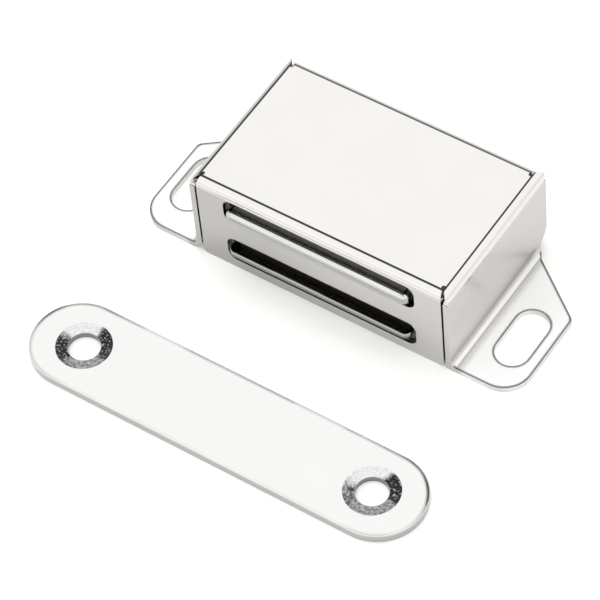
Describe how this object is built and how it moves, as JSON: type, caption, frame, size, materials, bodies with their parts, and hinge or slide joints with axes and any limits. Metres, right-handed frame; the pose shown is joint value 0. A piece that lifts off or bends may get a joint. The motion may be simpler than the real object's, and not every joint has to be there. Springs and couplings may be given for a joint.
{
  "type": "magnetic catch",
  "caption": "Folded sheet-steel magnetic catch with slotted ears and a floating pole-plate magnet pack, with its round-ended countersunk strike plate beside it.",
  "frame": {"origin": "middle of the case's footprint, on the mounting plane", "axes": "+X along the case, +Y from the slotted front towards the back, +Z away from the mounting plane"},
  "size_m": [0.0604, 0.0527, 0.0153],
  "materials": {
    "stainless_case": "bright rolled stainless sheet",
    "carrier_plastic": "moulded black plastic",
    "pole_steel": "nickel-plated steel",
    "ferrite": "sintered ferrite, unpainted",
    "strike_steel": "nickel-plated steel"
  },
  "bodies": {
    "fixed_parts": {"case": "stainless_case", "carrier": "carrier_plastic", "strike_plate": "strike_steel"},
    "magnet_pack": {"lower_pole_plate": "pole_steel", "magnet": "ferrite", "upper_pole_plate": "pole_steel"}
  },
  "joints": [
    {"name": "pack_float", "type": "slide", "parent": "fixed_parts", "child": "magnet_pack", "axis": [0, 1, 0], "range_m": [0, 0.0008]}
  ]
}
